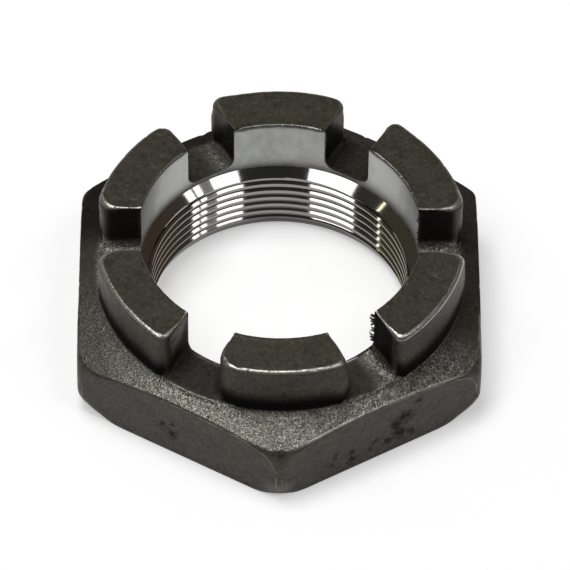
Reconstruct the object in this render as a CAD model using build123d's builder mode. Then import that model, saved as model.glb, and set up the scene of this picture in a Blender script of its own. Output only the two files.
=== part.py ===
"""Castle nut for an axle end: a forged hexagon with a slotted crown, bored and threaded.

Millimetres. The origin is on the axis in the bearing face, +Z runs up through the crown, and a
corner of the hexagon points along -Y. The fine thread is not cut: the bore is at its minor diameter.
"""

import os
from math import cos, radians, tan

from build123d import *

# Hexagon
flat_count = 6
across_flats = 60.0
hexagon_height = 11.2           # at the middle of a flat, where the shoulder runs out
corner_radius = 2.0             # the upright corners between two flats
shoulder_width = 2.1            # from the crown to the middle of a flat
shoulder_angle = 22.0           # the shoulder falls away from the crown by this much
shoulder_edge_chamfer = 0.7     # the broken edge between the shoulder and the flats
bottom_corner_cut = 2.1         # the bottom face stops this far inside the sharp corners
bottom_corner_angle = 60.0      # the corners rise from the bottom face at this slope
bottom_edge_chamfer = 0.3

# Crown
slot_width = 8.0
slot_depth = 8.5
slot_floor_rise = 0.45          # the slots stop this far above the shoulder
slot_root_radius = 2.0          # between a slot's walls and its floor
tooth_corner_radius = 1.5       # the upright outer corners of each tooth
crown_rim_radius = 0.8          # the outer rim of each tooth

# Bore
thread_major_diameter = 40.0
thread_pitch = 1.5
minor_depth_factor = 1.0825     # a metric thread's minor diameter is its major less this x pitch
entry_clearance = 0.2           # the bottom countersink opens this far outside the thread
entry_angle = 60.0              # from the horizontal
counterbore_clearance = 1.0     # all round the thread
counterbore_drop = 0.8          # below the floor of the slots
lead_in_angle = 30.0            # from the horizontal

# Worked out from the sizes above
flat_distance = across_flats / 2
corner_distance = flat_distance / cos(radians(180 / flat_count))
bearing_radius = corner_distance - bottom_corner_cut
bottom_corner_rise = bottom_corner_cut * tan(radians(bottom_corner_angle))
crown_radius = flat_distance - shoulder_width
shoulder_slope = tan(radians(shoulder_angle))
shoulder_top = hexagon_height + shoulder_width * shoulder_slope
shoulder_low = hexagon_height - (corner_distance - flat_distance) * shoulder_slope
slot_floor_height = shoulder_top + slot_floor_rise
total_height = slot_floor_height + slot_depth
major_radius = thread_major_diameter / 2
minor_radius = major_radius - minor_depth_factor * thread_pitch / 2
entry_radius = major_radius + entry_clearance
entry_height = (entry_radius - minor_radius) * tan(radians(entry_angle))
counterbore_radius = major_radius + counterbore_clearance
counterbore_floor_height = slot_floor_height - counterbore_drop
thread_top = counterbore_floor_height - (counterbore_radius - minor_radius) * tan(radians(lead_in_angle))

# The teeth seen from above: the crown's disc, parted by a slot over each flat
with BuildSketch(Plane.XY.offset(slot_floor_height)) as teeth:
    Circle(crown_radius)
    with PolarLocations(0, flat_count):
        Rectangle(corner_distance, slot_width, align=(Align.MIN, Align.CENTER), mode=Mode.SUBTRACT)
    outer_corners = teeth.vertices().group_by(SortBy.DISTANCE)[-1]
    fillet(outer_corners, radius=tooth_corner_radius)

# The open space between and around the teeth, rounded at its foot as the slots are
with BuildPart() as slots:
    with BuildSketch(Plane.XY.offset(slot_floor_height)):
        Circle(corner_distance)
        add(teeth.sketch, mode=Mode.SUBTRACT)
    extrude(amount=slot_depth)
    slot_floor = slots.faces().sort_by(Axis.Z)[0]
    fillet(slot_floor.inner_wires().edges(), radius=slot_root_radius)

# The turned section: raised bottom corners, sloping shoulder, and the crown with its rounded rim
with BuildSketch(Plane.XZ) as section:
    Polygon(
        (0, 0),
        (bearing_radius, 0),
        (corner_distance, bottom_corner_rise),
        (corner_distance, shoulder_low),
        (crown_radius, shoulder_top),
        (crown_radius, total_height),
        (0, total_height),
        align=None,
    )
    rim = section.vertices().sort_by_distance((crown_radius, total_height))[0]
    fillet(rim, radius=crown_rim_radius)

with BuildPart() as castle_nut:
    # The hexagon, cut back to the turned section
    with BuildSketch(Plane.XY):
        RegularPolygon(flat_distance, side_count=flat_count, major_radius=False, rotation=180 / flat_count)
    extrude(amount=total_height)
    fillet(castle_nut.edges().filter_by(Axis.Z), radius=corner_radius)
    add(section.sketch)
    revolve(axis=Axis.Z, mode=Mode.INTERSECT)

    # Its edges: the shoulder's along the flats and corners, and the bearing face's
    shoulder = castle_nut.faces().filter_by(GeomType.CONE).sort_by(Axis.Z)[-1]
    shoulder_edges = shoulder.edges().filter_by(GeomType.CIRCLE, reverse=True)
    chamfer(shoulder_edges, length=shoulder_edge_chamfer)
    bearing_face = castle_nut.faces().sort_by(Axis.Z)[0]
    chamfer(bearing_face.outer_wire().edges(), length=bottom_edge_chamfer)

    # The teeth are left standing where the slots are cut
    add(slots.part, mode=Mode.SUBTRACT)

    # The bore: entry, thread at its minor diameter, lead-in and counterbore
    with BuildSketch(Plane.XZ):
        Polygon(
            (0, 0),
            (entry_radius, 0),
            (minor_radius, entry_height),
            (minor_radius, thread_top),
            (counterbore_radius, counterbore_floor_height),
            (counterbore_radius, total_height),
            (0, total_height),
            align=None,
        )
    revolve(axis=Axis.Z, mode=Mode.SUBTRACT)

castle_nut.part.label = "castle_nut"
os.makedirs("parts", exist_ok=True)
export_step(castle_nut.part, "parts/castle_nut.step")
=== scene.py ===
import math

import bmesh
import bpy
import numpy as np
from mathutils import Matrix, Vector, noise


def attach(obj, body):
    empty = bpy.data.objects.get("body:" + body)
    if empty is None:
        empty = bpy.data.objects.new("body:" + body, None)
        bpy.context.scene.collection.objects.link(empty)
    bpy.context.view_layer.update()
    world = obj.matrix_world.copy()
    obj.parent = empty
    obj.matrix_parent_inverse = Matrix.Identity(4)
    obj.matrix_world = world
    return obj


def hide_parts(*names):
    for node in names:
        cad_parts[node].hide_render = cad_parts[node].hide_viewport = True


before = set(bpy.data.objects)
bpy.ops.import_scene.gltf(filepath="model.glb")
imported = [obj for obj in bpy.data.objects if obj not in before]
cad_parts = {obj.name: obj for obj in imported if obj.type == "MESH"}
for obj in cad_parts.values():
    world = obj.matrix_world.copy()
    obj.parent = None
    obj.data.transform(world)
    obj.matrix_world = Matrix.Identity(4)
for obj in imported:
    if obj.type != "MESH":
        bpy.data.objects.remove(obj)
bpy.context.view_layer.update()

# ---------------------------------------------------------------------------------------------
# The forging. One piece of carbon steel, hammered hot in a closed die: a hexagon with a sloping
# shoulder and six teeth standing over its corners. Its skin keeps the dark scale of the forge.
# ---------------------------------------------------------------------------------------------
mm = 0.001                      # the nut's own sizes are in millimetres
corner_count = 6
half_angle = math.pi / corner_count
flat_distance = 29.97           # a touch inside the gauge size, so that the scale stays within it
shoulder_angle = math.radians(22)
hexagon_height = 11.2
edge_width = (0.2, 1.3)         # rounded edge between shoulder and flat: at its middle, at a corner
edge_drop = (0.2, 2.9)
edge_reach = 5.6                # how near to a corner the edge starts to grow
bottom_edge = 0.2
bottom_pull = 0.45              # how tightly the bottom corner bends: 1 is a plain curve
crown_radius = 27.8
crown_height = 20.93
slot_floor = 12.5
slot_end = (27.2, 0.8)          # where a slot's floor steps down to the shoulder, and over how long
bore_wall = 21.0
entry_radius = 20.05            # the bore's mouth in the bearing face
rim_radius = (0.3, 1.05, 0.8)   # rounding of a tooth's top: along the slot, at its corner, outside
foot_radius = (2.0, 0.8, 0.2)   # rounding of a tooth's foot: in the slot, at its corner, outside
flare_heights = (12.9, 14.3, 17.2, 19.6)    # the teeth swell at their corners between these
turned_edge = 0.08              # how far the turned inner edge of a tooth's top is set back
lip_drop = 0.02

slot_steps, tooth_steps, side_steps = 9, 27, 17
rim_steps, wall_steps, foot_steps = 6, 13, 6
shoulder_steps, edge_steps, flat_steps, under_steps, face_steps = 16, 7, 20, 5, 10
bend_steps = 5
evening_rounds = 60
side_crowding = 1.35            # steps along a slot get closer towards its outer end
shoulder_crowding = 1.15        # steps down the shoulder get closer towards the crown

# Each corner from the front one on, anticlockwise from above. No two came out of the die alike:
# the radius that its bottom corner is cut in to, and how high, its upright radius, how much of
# the rounded edge's growth it has, and how far its tooth grew outwards. Then, on its clockwise
# and its anticlockwise side: half the slot's width, the tooth's corner radius, and how far that
# corner spreads over its whole height and swells at its middle.
corners = [
    dict(cut=(33.0, 3.5), upright=1.6, tip=1.0, grow=0.0, slot=(4.2, 3.85), round=(2.0, 1.5),
         spread=(-0.55, -0.1), flare=(0.2, 0.5)),
    dict(cut=(32.0, 3.5), upright=2.0, tip=0.8, grow=0.12, slot=(4.0, 4.0), round=(1.4, 1.6),
         spread=(-0.1, 0.0), flare=(0.1, 0.1)),
    dict(cut=(32.4, 3.4), upright=2.0, tip=0.15, grow=0.35, slot=(4.0, 3.5), round=(2.3, 1.4),
         spread=(0.0, 0.3), flare=(0.0, 0.1)),
    dict(cut=(32.6, 3.2), upright=2.0, tip=0.3, grow=0.6, slot=(4.0, 4.0), round=(1.7, 1.6),
         spread=(-0.1, 0.35), flare=(0.15, 0.3)),
    dict(cut=(32.4, 3.4), upright=2.0, tip=0.4, grow=0.0, slot=(4.0, 4.0), round=(1.7, 2.3),
         spread=(0.0, 0.0), flare=(0.1, 0.0)),
    dict(cut=(31.9, 3.7), upright=2.0, tip=0.8, grow=-0.2, slot=(4.0, 3.5), round=(2.3, 1.6),
         spread=(0.0, 0.0), flare=(0.1, 0.25)),
]


def smooth(t):
    t = np.clip(t, 0, 1)
    return t * t * (3 - 2 * t)


def rising(value, start, length):
    """0 below the start, and 1 from this length above it."""
    return smooth((value - start) / length)


def falling(value, end, length):
    """0 above the end, and 1 from this length below it."""
    return smooth((end - value) / length)


def softer_of(a, b, width):
    """The smaller of two values, with a rounded change from one to the other."""
    return -width * np.logaddexp(-a / width, -b / width)


def cone_height(r):
    return hexagon_height + (flat_distance - r) * math.tan(shoulder_angle)


def ground(xy):
    """Height of the shoulder, and of the slot floors, which end in a small step down to it."""
    r = np.hypot(xy[..., 0], xy[..., 1])
    in_slot = 1 - rising(r, *slot_end)
    return cone_height(r) + (slot_floor - cone_height(r)) * in_slot


def edge_size(to_corner, tip):
    """Width and drop of the rounded edge, this far along the flat from its corner."""
    middle_share = 0.04
    to_corner = np.clip(to_corner, 0, None)
    growth = 0.8 * np.exp(-to_corner / 0.7) + 0.16 * falling(to_corner, edge_reach, edge_reach)
    nearness = middle_share + tip * growth * smooth(12 - to_corner)
    return [middle + (end - middle) * nearness for middle, end in (edge_width, edge_drop)]


def stack(xy, z):
    return np.concatenate([xy, np.broadcast_to(z, xy.shape[:-1])[..., None]], -1)


def turned(points, angle):
    c, s = math.cos(angle), math.sin(angle)
    x, y = points[..., 0] * c - points[..., 1] * s, points[..., 0] * s + points[..., 1] * c
    return np.stack([x, y, points[..., 2]], -1)


def around(angles):
    """Points on a circle of radius 1."""
    return np.stack([np.cos(angles), np.sin(angles)], -1)


def shares(count):
    """Even shares from 0 to 1, one for each row of a grid."""
    return np.linspace(0, 1, count + 1)[:, None, None]


def web(near, far, left, right):
    """A grid of points between four edges that meet at their ends."""
    u = np.linspace(0, 1, len(near))[None, :, None]
    v = np.linspace(0, 1, len(left))[:, None, None]
    across = (1 - v) * near[None] + v * far[None]
    along = (1 - u) * left[:, None] + u * right[:, None]
    ends = (1 - u) * (1 - v) * near[0] + u * (1 - v) * near[-1]
    ends = ends + (1 - u) * v * far[0] + u * v * far[-1]
    return across + along - ends


patches = []


def lay(grid, finish, angle, mirrored):
    """Keeps a grid of half a tooth's sector, turned to its place round the nut."""
    patches.append((turned(grid * (1, -1, 1) if mirrored else grid, angle), finish))


def half_sector(corner, angle, mirrored):
    """From the middle of a slot, along +X, to the middle of the next tooth."""
    slot_half, tooth_corner = corner["slot"][mirrored], corner["round"][mirrored]
    spread, flare = corner["spread"][mirrored], corner["flare"][mirrored]
    radius = crown_radius + corner["grow"]
    arc_y = slot_half + tooth_corner
    arc_x = math.sqrt((radius - tooth_corner) ** 2 - arc_y ** 2)
    arc_end = math.atan2(arc_y, arc_x)
    arc_centre = np.array([arc_x, arc_y])

    # The tooth's outline: along the slot, half round the corner; the other half, and outside
    half_arc = tooth_corner * (arc_end + math.pi / 2) / 2
    straight = arc_x - math.sqrt(bore_wall ** 2 - slot_half ** 2)
    outwards = 1 - np.linspace(1, 0, side_steps + 1) ** side_crowding
    s = outwards * (straight + half_arc)
    side_normal = around(-math.pi / 2 + np.clip(s - straight, 0, None) / tooth_corner)
    side = arc_centre + tooth_corner * side_normal
    side_back = np.clip(straight - s, 0, None) / straight
    s = np.linspace(0, half_arc + radius * (half_angle - arc_end), tooth_steps + 1)
    round_corner = s < half_arc
    out_normal = around(np.where(round_corner, arc_end - (half_arc - s) / tooth_corner,
                                 arc_end + (s - half_arc) / radius))
    out = np.where(round_corner[:, None], arc_centre + tooth_corner * out_normal,
                   radius * out_normal)

    def wall(points, normal, back, round_top, round_foot, swell):
        """The tooth's wall from its top down to its foot, one row of points per height."""
        low, full, fading, high = flare_heights

        def shifted(d, z):
            rise = rising(z, low, full - low) * falling(z, high, high - fading)
            p = points + normal * (d + swell * (spread + flare * rise))[:, None]
            p[:, 0] -= back * (arc_x - np.sqrt(bore_wall ** 2 - p[:, 1] ** 2))
            return p

        rows = []
        for bend in np.linspace(0, math.pi / 2, rim_steps + 1):
            z = crown_height - round_top * (1 - math.cos(bend))
            rows.append(stack(shifted(-round_top * (1 - math.sin(bend)), z), z))
        foot = ground(shifted(round_foot, high))
        upper = crown_height - round_top
        lower = foot + round_foot
        for t in np.linspace(0, 1, wall_steps + 1)[1:]:
            z = upper + (lower - upper) * t
            rows.append(stack(shifted(0, z), z))
        for bend in np.linspace(0, math.pi / 2, foot_steps + 1)[1:]:
            z = foot + round_foot * (1 - math.sin(bend))
            rows.append(stack(shifted(round_foot * (1 - math.cos(bend)), z), z))
        return np.array(rows)

    # Its roundings change between the slot, the corner and the outside
    k = outwards
    side_top = rim_radius[0] + (rim_radius[1] - rim_radius[0]) * rising(k, 0.3, 0.7)
    side_foot = foot_radius[0] + (foot_radius[1] - foot_radius[0]) * rising(k, 0.55, 0.45)
    side_wall = wall(side, side_normal, side_back, side_top, side_foot, rising(k, 0.5, 0.5))
    k = np.linspace(0, 1, tooth_steps + 1)
    out_top = rim_radius[1] + (rim_radius[2] - rim_radius[1]) * rising(k, 0, 0.3)
    out_foot = foot_radius[1] + (foot_radius[2] - foot_radius[1]) * rising(k, 0, 0.22)
    out_wall = wall(out, out_normal, 0 * k, out_top, out_foot, 1 - rising(k, 0, 0.4))
    lay(side_wall, "scale", angle, mirrored)
    lay(out_wall, "scale", angle, mirrored)

    # The tooth's top, its turned inner edge and its face in the counterbore
    start = side_wall[0, 0]
    start_angle = math.atan2(start[1], start[0])
    inner = stack(bore_wall * around(np.linspace(start_angle, half_angle, tooth_steps + 1)),
                  crown_height)
    set_back = turned_edge * smooth(np.linspace(0, 6, tooth_steps + 1))[:, None]
    inner[:, :2] *= 1 + set_back / bore_wall
    centre = np.linspace(inner[-1], out_wall[0, -1], side_steps + 1)
    face = web(inner, out_wall[0], side_wall[0, :], centre)
    for _ in range(evening_rounds):     # else the grid would fold over itself at a tight corner
        beside = face[2:, 1:-1] + face[:-2, 1:-1] + face[1:-1, 2:] + face[1:-1, :-2]
        face[1:-1, 1:-1] = beside / 4
    lay(face, "scale", angle, mirrored)

    left = side_wall[1:, 0]
    left_angle = np.arctan2(left[:, 1], left[:, 0])
    left_pair = np.stack([left_angle, left[:, 2]], -1)
    right_pair = np.stack([np.full(len(left), half_angle),
                           np.linspace(left[0, 2], slot_floor, len(left))], -1)
    near_pair = np.linspace(left_pair[0], right_pair[0], tooth_steps + 1)
    far_pair = np.linspace(left_pair[-1], right_pair[-1], tooth_steps + 1)
    pair = web(near_pair, far_pair, left_pair, right_pair)
    face = stack(bore_wall * around(pair[..., 0]), pair[..., 1])
    lay(face, "turned", angle, mirrored)
    lip = (inner + face[0]) / 2
    lip[:, 2] = crown_height - lip_drop
    lip[0] = face[0, 0]
    lay(np.array([inner, lip, face[0]]), "turned", angle, mirrored)

    # The slot's floor, out over its step
    foot_line = side_wall[-1]
    corner_foot = foot_line[-1]
    near = bore_wall * around(np.linspace(0, left_angle[-1], slot_steps + 1))
    far = around(np.linspace(0, math.atan2(corner_foot[1], corner_foot[0]), slot_steps + 1))
    corner_reach = math.hypot(corner_foot[0], corner_foot[1])
    far *= np.linspace(sum(slot_end), corner_reach, slot_steps + 1)[:, None]
    middle = near[0] + (far[0] - near[0]) * outwards[:, None]
    floor_xy = web(near, far, middle, foot_line[:, :2])
    floor = stack(floor_xy, ground(floor_xy))
    floor[:, -1] = foot_line
    lay(floor, "scale", angle, mirrored)

    # The hexagon's outline: the flat, then half of an upright corner
    upright = corner["upright"]
    tangent_y = (flat_distance - upright) * math.tan(half_angle)
    slot_y = flat_distance * corner_foot[1] / corner_foot[0]
    y = np.concatenate([np.linspace(0, slot_y, slot_steps + 1),
                        np.linspace(slot_y, tangent_y, tooth_steps - bend_steps + 1)[1:]])
    bend = np.linspace(0, half_angle, bend_steps + 1)[1:]
    normal = around(np.concatenate([np.zeros(len(y)), bend]))
    line = np.concatenate([
        np.stack([np.full(len(y), flat_distance), y], -1),
        np.array([flat_distance - upright, tangent_y]) + upright * normal[len(y):]])
    width, drop = edge_size(tangent_y - line[:, 1], corner["tip"])

    # The shoulder, from the crown's foot to its rounded edge
    inside = np.concatenate([floor[-1], out_wall[-1][1:]])
    outside = line - normal * width[:, None]
    t = shares(shoulder_steps) ** shoulder_crowding
    shoulder_xy = (1 - t) * inside[None, :, :2] + t * outside[None]
    shoulder = stack(shoulder_xy, ground(shoulder_xy))
    shoulder[0] = inside
    lay(shoulder, "scale", angle, mirrored)

    # The rounded edge, the flat and the raised bottom corner
    distance = np.hypot(line[:, 0], line[:, 1])
    edge_point = stack(line, cone_height(distance))
    edge_low = edge_point - np.array([0, 0, 1]) * drop[:, None]
    t = shares(edge_steps)
    edge = (1 - t) ** 2 * shoulder[-1] + 2 * t * (1 - t) * edge_point + t ** 2 * edge_low
    lay(edge, "scale", angle, mirrored)
    cut_radius, cut_height = corner["cut"]
    cut_start = cut_radius - 0.4
    cut = np.clip((distance - cut_start) / (distance[-1] - cut_start), 0, 1)
    under_top = stack(line, bottom_edge + (cut_height - bottom_edge) * cut ** 1.3)
    t = shares(flat_steps)
    lay(edge[-1] * (1 - t) + under_top * t, "scale", angle, mirrored)
    under_radius = softer_of(distance - bottom_edge, np.full(len(distance), cut_radius), 0.15)
    under_end = stack(line * (under_radius / distance)[:, None], 0)
    under_bend = stack(line, 0)
    t = shares(under_steps)
    pull = 2 * bottom_pull * t * (1 - t)
    under = (1 - t) ** 2 * under_top + pull * under_bend + t ** 2 * under_end
    lay(under / ((1 - t) ** 2 + pull + t ** 2), "scale", angle, mirrored)

    # The bearing face, in to the bore's mouth
    mouth_angle = np.concatenate([np.linspace(0, left_angle[-1], slot_steps + 1), pair[-1, 1:, 0]])
    mouth = stack(entry_radius * around(mouth_angle), 0)
    t = shares(face_steps)
    lay(under_end * (1 - t) + mouth * t, "faced", angle, mirrored)
    return mouth_angle, np.concatenate([floor[0, :, 2], face[-1, 1:, 2]])


# ---------------------------------------------------------------------------------------------
# The bore, turned and threaded after the forging: a counterbore through the crown, a lead-in at
# 30 degrees, a right-hand thread of 40 mm by 1.5 mm, and a countersunk entry in the bearing face.
# ---------------------------------------------------------------------------------------------
pitch = 1.5
major_radius = 20.0
minor_radius = major_radius - 1.0825 * pitch / 2
entry_slope = math.tan(math.radians(68.7))
lead_slope = math.tan(math.radians(30))
lead_top = 11.7
thread_start = -1.575           # height of the first crest's lower edge, along +X
# One turn's section, as shares of the pitch and of the full depth: crest, flank, root, flank. Its
# root is kept shallow, because a deeper one would only mirror the turn above it.
thread_rows = [(0, 0), (0.1, 0), (0.2, 0), (0.277, 0.246), (0.354, 0.493), (0.6, 0.493),
               (0.846, 0.493), (0.923, 0.246)]
turn_count = 10
full_turn = 2 * math.pi

# In the bore the skin's points stand at the same angles as at the slots' floors and teeth's faces
ring = []
for k, corner in enumerate(corners):
    tooth_direction = (2 * k - 3) * half_angle
    for side in (-1, 1):
        slot_direction = tooth_direction + side * half_angle
        angles, heights = half_sector(corner, slot_direction, side > 0)
        ring += list(zip(slot_direction - side * angles, heights))
ring = sorted({(round(a % full_turn, 6) % round(full_turn, 6), round(h, 4)) for a, h in ring})
ring.append((ring[0][0] + full_turn, ring[0][1]))
ring_angle, ring_height = np.array(ring).T
ring_xy = around(ring_angle)

counterbore_steps = 3
counterbore = [stack(ring_xy * bore_wall, ring_height + (lead_top - ring_height) * t)
               for t in np.linspace(0, 1, counterbore_steps + 1)]
patches.append((np.array(counterbore), "turned"))

thread = []
for turn_number in range(turn_count):
    for share, depth in thread_rows:
        z = pitch * (turn_number + share + ring_angle / full_turn) + thread_start
        z = np.clip(z, 0, lead_top)
        radius = np.full(len(z), minor_radius + depth * (major_radius - minor_radius))
        radius = np.maximum(radius, entry_radius - z / entry_slope)
        radius = np.maximum(radius, bore_wall - (lead_top - z) / lead_slope)
        thread.append(stack(ring_xy * radius[:, None], z))
patches.append((np.array(thread), "threaded"))

# ---------------------------------------------------------------------------------------------
# The nut's surface. All its patches are joined into one closed skin. Then the forged parts get
# what the die, the shot blasting and the bin left: soft waves, pits, dents and rubbed edges. Painted
# highlights go on those edges, and painted shade low on the walls, in the slots and behind the
# crown.
# ---------------------------------------------------------------------------------------------
finishes = ["scale", "turned", "threaded", "faced"]      # in the order of the materials below
weld_distance = 0.002
sharp_angle = 38

places, faces, face_finish, first = [], [], [], 0
for grid, finish in patches:
    rows, columns = grid.shape[:2]
    index = np.arange(rows * columns).reshape(rows, columns) + first
    quads = np.stack([index[:-1, :-1], index[:-1, 1:], index[1:, 1:], index[1:, :-1]], -1)
    places.append(grid.reshape(-1, 3))
    faces.append(quads.reshape(-1, 4))
    face_finish += [finishes.index(finish)] * len(faces[-1])
    first += rows * columns
nut_mesh = bpy.data.meshes.new("forged_castle_nut")
nut_mesh.from_pydata(np.concatenate(places).tolist(), [], np.concatenate(faces).tolist())
nut_mesh.polygons.foreach_set("material_index", face_finish)
skin = bmesh.new()
skin.from_mesh(nut_mesh)
bmesh.ops.remove_doubles(skin, verts=skin.verts, dist=weld_distance)
bmesh.ops.recalc_face_normals(skin, faces=skin.faces)
skin.to_mesh(nut_mesh)
skin.free()

# What each point of the skin has round it: how far it is from the axis and over the ground, how
# far inside its flat, how far along that, and how far from its corner, with the edge's size there
count = len(nut_mesh.vertices)
at = np.empty(count * 3)
nut_mesh.vertices.foreach_get("co", at)
at = at.reshape(-1, 3)
x, y, height = at.T             # these follow the points when they are moved below
out_of = np.array([v.normal[:] for v in nut_mesh.vertices])     # the way out of the metal
from_axis = np.hypot(x, y)
above = height - ground(at[:, :2])
round_nut = np.arctan2(y, x)
off_flat = (round_nut + half_angle) % (2 * half_angle) - half_angle
inset = flat_distance - from_axis * np.cos(off_flat)
along = from_axis * np.abs(np.sin(off_flat))
nearest = np.floor((round_nut + 2 * math.pi / 3) / (2 * half_angle)).astype(int) % corner_count
tip, upright = np.array([(corner["tip"], corner["upright"]) for corner in corners])[nearest].T
to_corner = (flat_distance - upright) * math.tan(half_angle) - along
local_width, local_drop = edge_size(to_corner, tip)

# Each slot from the right one on, anticlockwise from above: how much shot it got, and on which
# side of its middle (0: both); how dark the painted shade on its walls is, out to where, over what
# length that fades, and whether it sinks towards their foot; how dark the painted shade on its floor
# is
slots = np.array([
    (1.0, 0, 0.62, 27.4, 1.8, 0, 0.0),
    (0.04, 0, 0.80, 27.4, 3.0, 1, 0.45),
    (0.6, -1, 0.76, 27.4, 3.0, 1, 0.3),
    (1.0, 0, 0.62, 27.4, 1.8, 0, 0.0),
    (0.24, 0, 0.58, 27.4, 6.0, 1, 0.6),
    (1.0, 1, 0.86, 26.9, 1.8, 0, 0.4),
])
slot_number = np.round(round_nut / (2 * half_angle)).astype(int) % corner_count
shot, shot_side, wall_dark, dark_end, dark_fade, dark_sinks, floor_dark = slots[slot_number].T
across_slot = from_axis * np.sin(round_nut - slot_number * 2 * half_angle)
slot_mouth = 27.6
in_slots = falling(from_axis, slot_mouth, 0.3)

# Where the shot has reached: the front of the shoulder, and the slots with their rounded feet.
# Over the shoulder its bright bare steel is partly painted light: it fades out towards the back
# and is halved towards the left, following how the lamps fall on it.
foot_height = 0.7 * in_slots
blasted = 1 - rising(above, 0.08 + foot_height, 0.15 + foot_height)
blasted *= rising(inset, local_width - 0.3, 0.35) * rising(height, 8, 1)
shot_and_lit_side = falling(y + 0.2 * x, -4, 10)
shot_and_lit_side *= 1 - 0.5 * falling(x - 0.4 * (y + 20), -14, 12)
shot *= np.where(shot_side == 0, 1, 0.08 + 0.92 * rising(shot_side * across_slot, 0.2, 2.2))
blasted *= shot_and_lit_side * (1 - in_slots) + shot * in_slots

# The dies did not quite meet: the shoulder came out higher at the back, most of all at its right.
# This fades out up the teeth and down the flats.
high_side = math.radians(50)
facing = x * math.cos(high_side) + y * math.sin(high_side)
lift = 0.35 * rising(y, 2, 10) + 0.5 * rising(facing, 17, 11)
lift *= rising(from_axis, 27, 0.9) * np.clip(1 - above / 7, 0, 1) * np.clip(height / 9.5, 0, 1)


def roughness_of(points, size, shift):
    """Smooth noise whose lumps are about this many millimetres across."""
    return np.array([noise.noise(Vector(p)) for p in points / size + shift])


# Waves, lumps, grit and pits, as a depth below the die's own face
forged = rising(from_axis, bore_wall + 0.1, 0.6) * rising(height, 0, 0.6)
forged[(height < 12) & (from_axis < 25)] = 0
wave = roughness_of(at, 7.0, 11.3)
lump = roughness_of(at, 2.1, 4.7)
grit = roughness_of(at, 0.8, 31.9)
pit = np.clip(roughness_of(at, 1.3, 77.1) - 0.35, 0, None)
depth = 0.07 + 0.06 * wave + 0.03 * lump + 0.012 * grit + 0.05 * blasted * grit + 0.4 * pit


def on_flat(direction, place, z):
    """A point on the flat that faces this way in degrees, this far along it and this high."""
    a = math.radians(direction)
    return np.array([flat_distance * math.cos(a) - place * math.sin(a),
                     flat_distance * math.sin(a) + place * math.cos(a), z])


left_front, right_front = -120, -60

# Knocks: the flat, how far along it and how high, radius and depth
knocks = [
    (left_front, -0.7, 4.1, 0.8, 0.32), (left_front, -1.5, 4.9, 0.6, 0.2),
    (left_front, -2.5, 5.7, 0.6, 0.15), (left_front, -7.9, 4.6, 0.4, 0.1),
    (left_front, 4.7, 1.7, 0.4, 0.15), (left_front, -9.8, 3.4, 0.5, 0.08),
    (right_front, -5.0, 1.8, 0.5, 0.12), (right_front, -8.4, 3.0, 0.4, 0.1),
]
for direction, place, z, radius, knock_depth in knocks:
    near = ((at - on_flat(direction, place, z)) ** 2).sum(1) / radius ** 2
    depth += knock_depth * np.exp(-near)
at -= out_of * (np.clip(depth, 0, None) * forged)[:, None]
height += lift
nut_mesh.vertices.foreach_set("co", (at * mm).ravel())
nut_mesh.update()

# How sharply the skin bends at each point, which is where handling has rubbed it bright and where
# the painted highlights go
out_of = np.array([v.normal[:] for v in nut_mesh.vertices])
upward = out_of[:, 2]
pairs = np.empty(len(nut_mesh.edges) * 2, np.int32)
nut_mesh.edges.foreach_get("vertices", pairs)
pairs = pairs.reshape(-1, 2)
step = at[pairs[:, 1]] - at[pairs[:, 0]]
step_squared = (step ** 2).sum(1) + 1e-9
sharpness = np.zeros(count)
edge_count = np.zeros(count)
for a, b, sign in ((0, 1, 1), (1, 0, -1)):
    fall = (out_of[pairs[:, b]] - out_of[pairs[:, a]]) * step * sign
    np.add.at(sharpness, pairs[:, a], fall.sum(1) / step_squared)
    np.add.at(edge_count, pairs[:, a], 1)
sharpness /= np.maximum(edge_count, 1)

# Rubbed bright, partly wear and partly a painted highlight of the lamps on the edges: the rims of
# the front teeth, the back teeth's edges over the side slots, and the right front flat's upper edge.
# The front tooth's ends get little of it.
sideways = np.abs(x) - np.abs(y) * 3
handled_and_lit = np.maximum(falling(y, 2, 16), rising(sideways, 0, 3) * rising(y, 2.5, 1))
on_right_tooth = rising(x, 14, 2) * falling(y, -3, 2)
forward = -out_of[:, 1] / (np.hypot(out_of[:, 0], out_of[:, 1]) + 1e-6)
front_ends = (1 - rising(forward, 0.35, 0.3)) * (np.abs(x) < 14) * (y < -20)
rim_start = 19.6
wear_and_highlight = rising(height, rim_start, 0.3) * rising(upward, 0.60 - 0.22 * on_right_tooth, 0.15)
wear_and_highlight *= 1 - 0.8 * front_ends
wear_and_highlight *= 1 - rising(upward, 0.955, 0.035)
wear_and_highlight *= (0.15 + 0.85 * handled_and_lit) * rising(sharpness, 0.05, 0.2)
wear_and_highlight = np.minimum(wear_and_highlight * (1 + 0.6 * on_right_tooth), 1)
upper_edge = falling(inset, 0.42, 0.2) * rising(height, 9.5, 1) * rising(upward, 0.45, 0.25)
wear_and_highlight = np.maximum(wear_and_highlight, upper_edge * (x > 0) * (y < -8))
tip_y, tip_height = -34, 2.2
from_front_tip = np.hypot(np.hypot(x * 0.5, y - tip_y), height - tip_height)
wear_and_highlight = np.maximum(wear_and_highlight, 0.16 * falling(from_front_tip, 1.8, 1.2))

# The plain part of each flat ends in a thin light line at the rounded edge and at the corners,
# partly wear and partly a painted highlight on that crease. It shows at the front corner, low on
# the flats, and at the nut's right.
edge_line = cone_height(np.hypot(flat_distance, along)) - local_drop
far_off = -9
within = softer_of(to_corner + 0.35, edge_line - height, 0.4)
within = np.where(inset < 0.4, within, far_off)
at_front_tip = falling(x, 0.3, 0.3) * falling(y, -24, 4)
lined = np.maximum(at_front_tip, 0.4 * falling(height, 6, 1) + 0.3 * rising(x, 14, 4))
within = np.where(lined > 0.05, within, far_off)
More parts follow.
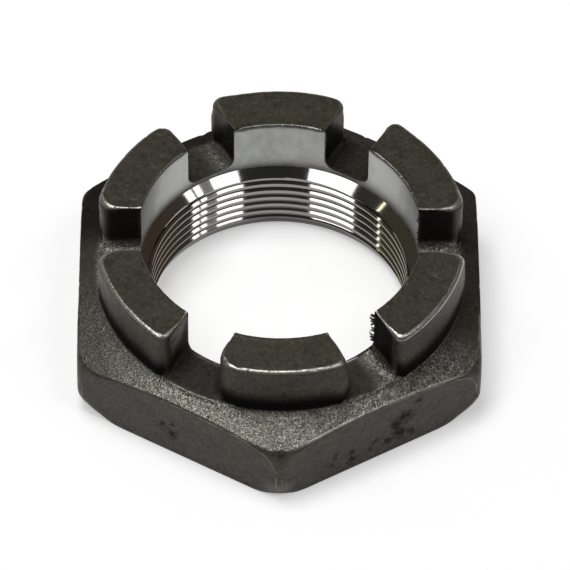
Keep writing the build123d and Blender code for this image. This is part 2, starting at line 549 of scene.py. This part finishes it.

# Painted shade, laid on as thick dark scale where the light falls least: low on the crown's wall,
# under the front flats' upper edges, behind the crown, and on the slots' walls and floors
shade = (1 - rising(above, 0.3, 5.2)) * rising(from_axis, 26.8, 0.5) * rising(above, 0, 0.15)
shade *= rising(height, 11.5, 0.5)
lip_line = falling(inset, 0.3, 0.15) * rising(height, edge_line, 0.15)
lip_line *= falling(upward, 0.6, 0.3) * (y < 0) * rising(to_corner, 0.8, 2)
shade = np.maximum(shade, 0.4 * lip_line)
behind = rising(y + 0.2 * x, -6, 10) * falling(above, 2, 1) * (inset > 0.1)
behind *= (height > 10) * rising(from_axis, 26, 2)
shade = np.maximum(shade, (0.42 + 0.18 * (x < 0)) * behind)
clear_of_bore = from_axis > bore_wall + 0.05
steep = 1 - rising(upward, 0.1, 0.5)
wall_shade = smooth((dark_end - from_axis) / dark_fade - dark_sinks * (height - 16.5) / 4)
wall_shade *= wall_dark * steep * rising(height, 12.2, 0.3) * clear_of_bore
shade = np.maximum(shade, wall_shade)
on_floor = falling(above, 1.5, 1) * in_slots * (height > 12) * clear_of_bore
shade = np.maximum(shade, floor_dark * (1 - blasted) * on_floor)

# Painted shade too: on the bore's countersunk entry, for the shadowed bench that it mirrors, and a
# painted shadow on the upper edge of the counterbore's wall, under the torn ridge
entry_wall = entry_radius - height / entry_slope
shade = np.maximum(shade, falling(from_axis, entry_wall + 0.04, 0.03) * (height < 2.4))
shade = np.maximum(shade, 0.9 * rising(height, 20.1, 0.3) * (from_axis < bore_wall + 0.02))

# Black stains on a flat: how far along it, how high, and their radii
stains = {
    right_front: [(4.3, 6.6, 1.6), (2.6, 5.6, 1.4), (3.2, 3.5, 1.7), (1.2, 2.6, 0.9),
                  (5.4, 2.4, 0.9), (-1.0, 3.9, 0.7), (-1.7, 2.5, 0.7), (-5.0, 3.6, 0.8),
                  (-5.0, 1.9, 1.0), (-7.7, 4.9, 0.6), (-7.9, 3.9, 0.6), (-8.5, 2.7, 0.6),
                  (6.3, 9.0, 0.8)],
    left_front: [(-0.7, 4.1, 0.85), (-1.5, 4.9, 0.6), (-2.5, 5.7, 0.65), (-1.1, 6.4, 0.6),
                 (-0.1, 5.2, 0.5)],
}
smoky_edge = 1.7
stain = np.zeros(count)
for direction, spots in stains.items():
    for place, z, radius in spots:
        away = np.sqrt(((at - on_flat(direction, place, z)) ** 2).sum(1))
        stain = np.maximum(stain, 1 - away / (smoky_edge * radius))

for name, value in (("blasted", blasted), ("wear_and_highlight", wear_and_highlight), ("within", within),
                    ("shade", shade), ("stain", stain)):
    nut_mesh.attributes.new(name, "FLOAT", "POINT").data.foreach_set("value", value)

nut = bpy.data.objects.new("forged_castle_nut", nut_mesh)
bpy.context.scene.collection.objects.link(nut)
nut_mesh.shade_smooth()
nut_mesh.set_sharp_from_angle(angle=math.radians(sharp_angle))
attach(nut, "root")
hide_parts("castle_nut")


def new_material(name):
    material = bpy.data.materials.new(name)
    material.use_nodes = True
    tree = material.node_tree
    tree.nodes.clear()
    surface = tree.nodes.new("ShaderNodeBsdfPrincipled")
    end = tree.nodes.new("ShaderNodeOutputMaterial")
    tree.links.new(surface.outputs["BSDF"], end.inputs["Surface"])
    return material, tree, surface


def add(tree, kind, sockets, **settings):
    """A node with its settings, its values and its links."""
    node = tree.nodes.new("ShaderNode" + kind)
    for name, value in settings.items():
        setattr(node, name, value)
    for name, value in sockets.items():
        if isinstance(value, bpy.types.NodeSocket):
            tree.links.new(value, node.inputs[name])
        else:
            node.inputs[name].default_value = value
    return node


def object_place(tree):
    return add(tree, "TexCoord", {}).outputs["Object"]


def speckle(tree, size, detail=2.0, rough=0.5, stretch=(1, 1, 1), shift=0.0):
    """Noise whose grains are about this many millimetres across."""
    place = add(tree, "Mapping", {"Vector": object_place(tree), "Scale": stretch,
                                  "Location": (shift, shift, shift)}).outputs["Vector"]
    return add(tree, "TexNoise", {"Vector": place, "Scale": 1 / (size * mm), "Detail": detail,
                                  "Roughness": rough}).outputs["Fac"]


def between(tree, value, low, high):
    """0 at the low value, 1 at the high one, and smooth between them."""
    return add(tree, "MapRange", {"Value": value, "From Min": low, "From Max": high},
               interpolation_type="SMOOTHSTEP").outputs["Result"]


def work_out(tree, operation, *values):
    return add(tree, "Math", dict(enumerate(values)), operation=operation).outputs[0]


def times(tree, a, b):
    return work_out(tree, "MULTIPLY", a, b)


def plus(tree, a, b):
    return work_out(tree, "ADD", a, b)


def larger(tree, a, b):
    return work_out(tree, "MAXIMUM", a, b)


def blend(tree, factor, a, b):
    """Colour a, and colour b where the factor is 1."""
    return add(tree, "Mix", {0: factor, 6: a, 7: b}, data_type="RGBA").outputs[2]


def fade(tree, factor, a, b):
    """Value a, and value b where the factor is 1."""
    return add(tree, "Mix", {0: factor, 2: a, 3: b}, data_type="FLOAT").outputs[0]


def painted(tree, name):
    """A value that the mesh carries at its points."""
    return add(tree, "Attribute", {}, attribute_name=name).outputs["Fac"]


def roughen(tree, surface, relief, strength, distance):
    """Bump from a relief, at most this many millimetres high."""
    bump = add(tree, "Bump", {"Height": relief, "Strength": strength, "Distance": distance * mm})
    tree.links.new(bump.outputs["Normal"], surface.inputs["Normal"])


# Forge scale: a grainy mix of brown, olive and tan, redder in a few patches
material, tree, surface = new_material("forge_scale")
surface.inputs["Specular IOR Level"].default_value = 0.35
scale_deep = (0.027, 0.020, 0.013, 1)
scale_brown = (0.049, 0.040, 0.029, 1)
scale_olive = (0.041, 0.041, 0.029, 1)
scale_tan = (0.066, 0.056, 0.036, 1)
scale_pale = (0.12, 0.11, 0.082, 1)
scale_black = (0.016, 0.013, 0.011, 1)
rust_red = (0.058, 0.034, 0.021, 1)
colour = blend(tree, between(tree, speckle(tree, 3.5, 4, 0.6), 0.35, 0.65), scale_deep, scale_brown)
for grain_size, detail, rough, shift, low, high, tone in (
        (0.9, 4, 0.7, 3.1, 0.46, 0.62, scale_olive), (0.6, 3, 0.7, 6.4, 0.50, 0.62, scale_tan),
        (0.4, 2, 0.6, 17.4, 0.64, 0.74, scale_pale), (0.6, 3, 0.6, 30.2, 0.40, 0.30, scale_black)):
    grains = speckle(tree, grain_size, detail, rough, shift=shift)
    colour = blend(tree, between(tree, grains, low, high), colour, tone)
rust = between(tree, speckle(tree, 2.2, 4, 0.6, shift=7.7), 0.56, 0.76)
colour = blend(tree, times(tree, rust, 0.45), colour, rust_red)

# Blasted steel, silvery with dark hollows, under a brown film that lies in patches
blasted_here = painted(tree, "blasted")
grain = speckle(tree, 0.27, 2, 0.6)
coarse = speckle(tree, 0.6, 3, 0.65, shift=15.2)
steel_silver = (0.225, 0.222, 0.20, 1)
steel_filmed = (0.11, 0.09, 0.065, 1)
steel_glint = (0.42, 0.41, 0.38, 1)
small_hollow = (0.078, 0.071, 0.058, 1)
large_hollow = (0.075, 0.068, 0.055, 1)
film = between(tree, speckle(tree, 5.0, 4, 0.65, shift=12.9), 0.42, 0.70)
bare = blend(tree, times(tree, film, 0.5), steel_silver, steel_filmed)
bare = blend(tree, between(tree, grain, 0.57, 0.40), bare, small_hollow)
bare = blend(tree, between(tree, grain, 0.60, 0.72), bare, steel_glint)
bare = blend(tree, times(tree, between(tree, coarse, 0.48, 0.34), 0.6), bare, large_hollow)
colour = blend(tree, blasted_here, colour, bare)

# Black stains with smoky outlines, and the painted shade, laid on as near-black metal that shines no
# more
shade_black = (0.009, 0.0085, 0.008, 1)
stain_colour = (0.012, 0.016, 0.015, 1)
smoke = plus(tree, times(tree, speckle(tree, 0.8, 5, 0.75, shift=5.5), 1.8), painted(tree, "stain"))
stained = times(tree, between(tree, smoke, 1.2, 1.95), 0.85)
ragged = plus(tree, fade(tree, speckle(tree, 0.7, 3, 0.6, shift=1.9), -0.12, 0.12),
              painted(tree, "shade"))
black = larger(tree, stained, times(tree, between(tree, ragged, 0.03, 0.85), 0.97))
colour = blend(tree, black, colour, shade_black)
colour = blend(tree, stained, colour, stain_colour)

# Rubbed edges, and lines at the ends of the flats: wear with painted highlights
worn_highlight_colour = (0.46, 0.44, 0.40, 1)
line = between(tree, work_out(tree, "ABSOLUTE", painted(tree, "within")), 0.13, 0.02)
line = times(tree, line, between(tree, speckle(tree, 1.6, 3), 0.38, 0.55))
worn_and_highlit = times(tree, painted(tree, "wear_and_highlight"),
             between(tree, speckle(tree, 0.5, 3, 0.7, shift=8.8), 0.32, 0.48))
worn_and_highlit = larger(tree, worn_and_highlit, times(tree, line, 0.42))
colour = blend(tree, worn_and_highlit, colour, worn_highlight_colour)
metal = larger(tree, larger(tree, worn_and_highlit, times(tree, blasted_here, 0.9)), black)
rough = fade(tree, speckle(tree, 1.2, 3), 0.40, 0.56)
rough = fade(tree, black, fade(tree, blasted_here, rough, 0.36), 0.85)
tree.links.new(colour, surface.inputs["Base Color"])
tree.links.new(fade(tree, metal, 0.25, 1.0), surface.inputs["Metallic"])
tree.links.new(fade(tree, worn_and_highlit, rough, 0.30), surface.inputs["Roughness"])
fine_relief = times(tree, grain, fade(tree, blasted_here, 0.16, 1.0))
coarse_relief = times(tree, coarse, fade(tree, blasted_here, 0.4, 1.0))
roughen(tree, surface, plus(tree, fine_relief, coarse_relief), 1.0, 0.12)
nut_mesh.materials.append(material)

# Satin counterbore: turned, then dulled by handling; its brighter zones at the left and right are
# painted highlights
material, tree, surface = new_material("turned_steel")
satin_dark = (0.29, 0.287, 0.275, 1)
satin_light = (0.39, 0.388, 0.375, 1)
satin_green = (0.33, 0.36, 0.335, 1)
highlight_satin = (0.52, 0.52, 0.50, 1)
ridge_shadow_dark = (0.03, 0.028, 0.025, 1)
clouds = speckle(tree, 1.8, 4, 0.6, stretch=(1, 1, 0.5))
across = add(tree, "SeparateXYZ", {"Vector": object_place(tree)}).outputs["X"]
aside = plus(tree, work_out(tree, "ABSOLUTE", across), times(tree, clouds, 6 * mm))
painted_highlight = times(tree, between(tree, aside, 13 * mm, 18 * mm),
                  between(tree, aside, 23 * mm, 20 * mm))
colour = blend(tree, between(tree, clouds, 0.3, 0.7), satin_dark, satin_light)
tint = between(tree, speckle(tree, 3.0, 3, 0.5, shift=21.3), 0.40, 0.65)
colour = blend(tree, times(tree, tint, 0.5), colour, satin_green)
colour = blend(tree, painted_highlight, colour, highlight_satin)
# A painted shadow along the top edge of the wall, under the torn ridge
colour = blend(tree, painted(tree, "shade"), colour, ridge_shadow_dark)
tree.links.new(colour, surface.inputs["Base Color"])
surface.inputs["Metallic"].default_value = 1
tree.links.new(fade(tree, speckle(tree, 0.5, 3), 0.32, 0.44), surface.inputs["Roughness"])
roughen(tree, surface, speckle(tree, 0.35, 3, 0.6), 0.6, 0.03)
nut_mesh.materials.append(material)

# The thread is bright from its tool, under an oil film that dries brown at its left and olive at
# its right
material, tree, surface = new_material("cut_thread")
bright_steel = (0.27, 0.262, 0.247, 1)
brown_film = (0.29, 0.19, 0.132, 1)
olive_film = (0.27, 0.255, 0.165, 1)
entry_shade_dark = (0.05, 0.048, 0.044, 1)
across = add(tree, "SeparateXYZ", {"Vector": object_place(tree)}).outputs["X"]
across = plus(tree, across, times(tree, speckle(tree, 2.5, 3), 3 * mm))
colour = blend(tree, between(tree, across, -11 * mm, -18 * mm), bright_steel, brown_film)
colour = blend(tree, between(tree, across, 12 * mm, 19 * mm), colour, olive_film)
# Painted shade on the countersunk entry, for the shadowed bench that it mirrors
colour = blend(tree, painted(tree, "shade"), colour, entry_shade_dark)
tree.links.new(colour, surface.inputs["Base Color"])
surface.inputs["Metallic"].default_value = 1
tree.links.new(fade(tree, speckle(tree, 0.8, 2), 0.03, 0.09), surface.inputs["Roughness"])
nut_mesh.materials.append(material)

# The bearing face, faced off in the lathe: fine rings
material, tree, surface = new_material("faced_steel")
surface.inputs["Base Color"].default_value = (0.34, 0.33, 0.315, 1)
surface.inputs["Metallic"].default_value = 1
surface.inputs["Roughness"].default_value = 0.34
rings = add(tree, "TexWave", {"Vector": object_place(tree), "Scale": 900.0, "Distortion": 0.6,
                              "Detail": 2.0}, wave_type="RINGS", rings_direction="Z")
roughen(tree, surface, rings.outputs["Fac"], 0.5, 0.02)
nut_mesh.materials.append(material)

# ---------------------------------------------------------------------------------------------
# The burrs the boring tool left where it broke out of the metal: curled slivers down the edge of
# each slot that it met last, and a torn ridge round the inner edges of the teeth's tops.
# ---------------------------------------------------------------------------------------------
sliver_sides = 6
curl_points = 9
slot_edge = (20.66, 4.02)       # where the curls are rooted: out from the axis, and across the slot
curl_lean = (0.9, 0.75)         # they lean inwards, and out over the slot
curl_top = 20.7
ridge_points = 90
ridge_radius = 20.98
ridge_height = 20.86
ridge_limit = 0.11              # no thicker, so that it stays under the nut's full height
burr_points, burr_faces = [], []


def sliver(path, radii):
    """A closed, tapered thread of metal along a path."""
    ahead = np.gradient(path, axis=0)
    ahead /= np.linalg.norm(ahead, axis=1)[:, None]
    helper = np.where(np.abs(ahead[:, 2:]) > 0.8, [[1.0, 0, 0]], [[0, 0, 1.0]])
    one = np.cross(ahead, helper)
    one /= np.linalg.norm(one, axis=1)[:, None]
    two = np.cross(ahead, one)
    start = len(burr_points)
    for centre, a, b, radius in zip(path, one, two, radii):
        for side in range(sliver_sides):
            turn = full_turn * side / sliver_sides
            burr_points.append(centre + radius * (a * math.cos(turn) + b * math.sin(turn)))
    for ring_start in range(start, len(burr_points) - sliver_sides, sliver_sides):
        for side in range(sliver_sides):
            here, after = ring_start + side, ring_start + (side + 1) % sliver_sides
            burr_faces.append((here, after, after + sliver_sides, here + sliver_sides))
    burr_faces.append(tuple(range(start, start + sliver_sides))[::-1])
    burr_faces.append(tuple(range(len(burr_points) - sliver_sides, len(burr_points))))


def chance(*seed):
    """A repeatable number between 0 and 1."""
    return 0.5 + 0.5 * max(-1, min(1, 1.6 * noise.noise(Vector(seed) * 1.37)))


# Slot by slot: its direction in degrees, how many curls, between which heights, how long and thick.
# Each curl reaches, bends and rises by chance, so that no two are alike.
for direction, curl_count, low, high, size, thick in (
        (-60, 9, 14.0, 20.2, 0.66, 0.20), (0, 8, 13.2, 19.6, 0.34, 0.13),
        (60, 9, 13.4, 19.9, 0.34, 0.13), (120, 3, 20.2, 20.6, 0.36, 0.13),
        (-120, 4, 14.5, 20.2, 0.22, 0.10)):
    for k in range(curl_count):
        first, second, third = (chance(direction, k, 3.3 * n) for n in (1, 2, 3))
        z = low + (high - low) * (k + first) / curl_count
        reach = size * (0.4 + 1.3 * second ** 2)
        path = []
        for t in np.linspace(0, 1, curl_points):
            curl = t * (1.5 + 2.4 * third)
            out = reach * (math.sin(curl) / 1.6 + 0.35 * t)
            down = reach * (1 - math.cos(curl)) * (0.9 - 1.5 * first)
            along_slot, across = slot_edge[0] - curl_lean[0] * out, slot_edge[1] - curl_lean[1] * out
            path.append((along_slot, across, min(z + down, curl_top)))
        taper = 1 - 0.7 * np.linspace(0, 1, curl_points)
        sliver(turned(np.array(path), math.radians(direction)), thick * (0.7 + 0.6 * second) * taper)

# The torn ridge, in degrees round the nut: from, to, and how thick it is
from_end = np.minimum(np.arange(ridge_points), np.arange(ridge_points)[::-1])
ridge_taper = np.minimum(1, from_end / 3 + 0.1)
for start, end, thick in ((71.5, 108, 0.10), (20, 49, 0.06), (131, 148, 0.06), (-109, -72, 0.03),
                          (-48, -12, 0.03), (192, 228, 0.03)):
    angles = np.radians(np.linspace(start, end, ridge_points))
    radii = [thick * (0.1 + 1.4 * chance(40 * a, start, thick) ** 1.6) for a in angles]
    sliver(stack(ridge_radius * around(angles), ridge_height),
           np.minimum(radii, ridge_limit) * ridge_taper)

burr_mesh = bpy.data.meshes.new("bore_burrs")
burr_mesh.from_pydata((np.array(burr_points) * mm).tolist(), [], burr_faces)
burrs = bpy.data.objects.new("bore_burrs", burr_mesh)
bpy.context.scene.collection.objects.link(burrs)
burr_mesh.shade_smooth()
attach(burrs, "root")

# Torn metal, bright with blue and brown heat colours
material, tree, surface = new_material("torn_steel")
torn_blue = (0.07, 0.075, 0.085, 1)
torn_bright = (0.62, 0.60, 0.57, 1)
torn_brown = (0.20, 0.13, 0.09, 1)
heat = speckle(tree, 1.2, 3, 0.6, shift=4.2)
colour = blend(tree, between(tree, heat, 0.46, 0.62), torn_blue, torn_bright)
colour = blend(tree, between(tree, heat, 0.60, 0.70), colour, torn_brown)
tree.links.new(colour, surface.inputs["Base Color"])
surface.inputs["Metallic"].default_value = 1
tree.links.new(fade(tree, speckle(tree, 0.3, 2), 0.18, 0.34), surface.inputs["Roughness"])
roughen(tree, surface, speckle(tree, 0.12, 2, 0.6), 0.6, 0.02)
burr_mesh.materials.append(material)

# ---------------------------------------------------------------------------------------------
# The bench: a plain white sheet with a matt face, much wider than the nut that lies on it, which
# keeps the nut's soft shadow. It glows a little, so that it looks as white as the room.
# ---------------------------------------------------------------------------------------------
bench_half = 3.0                # in metres
bench_glow = 0.42
bench_mesh = bpy.data.meshes.new("bench")
bench_mesh.from_pydata([(-bench_half, -bench_half, 0), (bench_half, -bench_half, 0),
                        (bench_half, bench_half, 0), (-bench_half, bench_half, 0)],
                       [], [(0, 1, 2, 3)])
bench = bpy.data.objects.new("bench", bench_mesh)
bpy.context.scene.collection.objects.link(bench)
material, tree, surface = new_material("bench_white")
surface.inputs["Base Color"].default_value = (0.76, 0.76, 0.76, 1)
surface.inputs["Roughness"].default_value = 0.9
surface.inputs["Specular IOR Level"].default_value = 0
seen = add(tree, "LightPath", {})
shown = larger(tree, seen.outputs["Is Camera Ray"], seen.outputs["Is Glossy Ray"])
shown = larger(tree, shown, seen.outputs["Is Transmission Ray"])
surface.inputs["Emission Color"].default_value = (1, 1, 1, 1)
tree.links.new(times(tree, shown, bench_glow), surface.inputs["Emission Strength"])
bench_mesh.materials.append(material)

# ---------------------------------------------------------------------------------------------
# Light: a dim room with a pale horizon, a lamp overhead, and soft boxes high at the left and right.
# Each lamp is a flat panel that faces the nut, and the thread mirrors them as bright patches.
# ---------------------------------------------------------------------------------------------
room_front, room_back = 0.06, 0.12          # how bright the room is at the front and at the back
horizon = 0.95
horizon_top, horizon_foot = 0.12, 0.03      # it fades in between these, as shares of the way up
front_to_back = 0.20
world = bpy.data.worlds.new("room")
bpy.context.scene.world = world
world.use_nodes = True
tree = world.node_tree
tree.nodes.clear()
direction = add(tree, "TexCoord", {}).outputs["Generated"]
looking = add(tree, "SeparateXYZ", {"Vector": direction}).outputs
room = fade(tree, between(tree, looking["Y"], -front_to_back, front_to_back),
            room_front, room_back)
room = fade(tree, between(tree, looking["Z"], horizon_top, horizon_foot), room, horizon)
room = fade(tree, add(tree, "LightPath", {}).outputs["Is Camera Ray"], room, 1.0)
light = add(tree, "Background", {"Color": (1, 1, 1, 1), "Strength": room})
add(tree, "OutputWorld", {"Surface": light.outputs["Background"]})

lamp_distance = 1.5             # in metres
# Each lamp: the directions of its two ends, its width in degrees across them, and its radiance
lamps = {
    "overhead_lamp": ((-0.38, 0.12, 0.93), (0.04, 0.12, 0.99), 20, 10.0),
    "left_box": ((-0.215, -0.304, 0.928), (-0.515, -0.122, 0.848), 16, 5.0),
    "right_box": ((0.305, -0.273, 0.912), (0.478, -0.166, 0.8625), 14, 5.0),
    "right_glow": ((0.490, -0.158, 0.857), (0.540, -0.106, 0.834), 8, 0.5),
    "left_strip": ((-0.652, 0.072, 0.755), (-0.660, 0.086, 0.747), 8, 6.0),
    "right_strip": ((0.548, -0.100, 0.830), (0.578, -0.062, 0.814), 8, 5.0),
    "right_strip_2": ((0.590, -0.047, 0.806), (0.622, 0.002, 0.783), 8, 5.0),
}
for name, (start, finish, spread, radiance) in lamps.items():
    start, finish = Vector(start).normalized(), Vector(finish).normalized()
    towards = (start + finish).normalized()
    long_way = (finish - start).normalized()
    short_way = towards.cross(long_way)
    lamp = bpy.data.lights.new(name, "AREA")
    lamp.shape = "RECTANGLE"
    lamp.size = (finish - start).length * lamp_distance
    lamp.size_y = 2 * math.tan(math.radians(spread) / 2) * lamp_distance
    lamp.energy = radiance * math.pi * lamp.size * lamp.size_y
    box = bpy.data.objects.new(name, lamp)
    box.matrix_world = Matrix((long_way, short_way, towards)).transposed().to_4x4()
    box.location = towards * lamp_distance
    bpy.context.scene.collection.objects.link(box)

# ---------------------------------------------------------------------------------------------
# The camera: a long lens, from the front and about 50 degrees above the bench, turned to one side
# and tilted by less than a degree each.
# ---------------------------------------------------------------------------------------------
elevation = math.radians(49.718)
azimuth = math.radians(0.65)
tilt = math.radians(0.764)
distance = 738.2 * mm
focal_length = 308.59579
film_width = 36
aim_right, aim_up = 0.94426, 5.42081        # what it looks at, from the middle of the nut's foot
right = Vector((math.cos(azimuth), -math.sin(azimuth), 0))
back = Vector((-math.sin(azimuth) * math.cos(elevation), -math.cos(azimuth) * math.cos(elevation),
               math.sin(elevation)))
up = back.cross(right)
right, up = (right * math.cos(tilt) + up * math.sin(tilt),
             up * math.cos(tilt) - right * math.sin(tilt))
aim = (right * aim_right + up * aim_up) * mm
stand = back * distance
away = (stand - aim).normalized()
side = up.cross(away).normalized()
lens = bpy.data.cameras.new("camera")
lens.sensor_width = film_width
lens.lens = focal_length
camera = bpy.data.objects.new("camera", lens)
camera.matrix_world = Matrix((side, away.cross(side), away)).transposed().to_4x4()
camera.location = stand
bpy.context.scene.collection.objects.link(camera)
bpy.context.scene.camera = camera
bpy.context.scene.view_settings.view_transform = "Standard"
